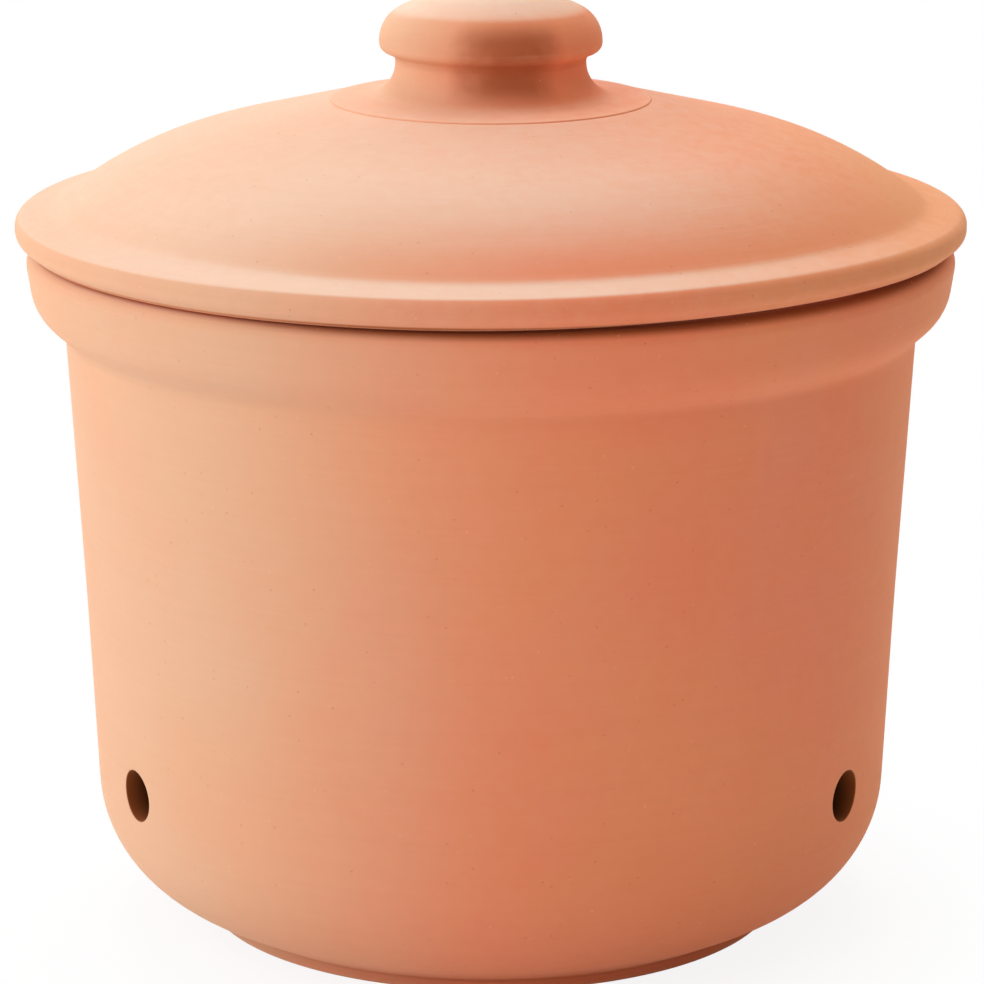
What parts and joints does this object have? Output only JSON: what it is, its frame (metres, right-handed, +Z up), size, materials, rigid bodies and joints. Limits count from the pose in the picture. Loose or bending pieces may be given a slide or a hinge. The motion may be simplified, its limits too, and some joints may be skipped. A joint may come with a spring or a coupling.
{
  "type": "potato keeper",
  "caption": "Unglazed terracotta storage pot with air vents low in its wall, a rolled collar at the rim and a loose domed lid lifted by a turned knob.",
  "frame": {"origin": "on the pot's axis, at the surface that its foot stands on", "axes": "+Z up along the axis of the pot, lid and knob; -Y faces the viewer of the picture, with a vent 60 degrees to each side of it and the third vent at +Y"},
  "size_m": [0.24, 0.24, 0.2392],
  "materials": {
    "terracotta": "matt unglazed earthenware with fine turning lines"
  },
  "bodies": {
    "pot": {"pot": "terracotta"},
    "lid": {"lid": "terracotta", "knob": "terracotta"}
  },
  "joints": [
    {"name": "lid_lift", "type": "slide", "parent": "pot", "child": "lid", "axis": [0, 0, 1], "range_m": [0, 0.15]}
  ]
}
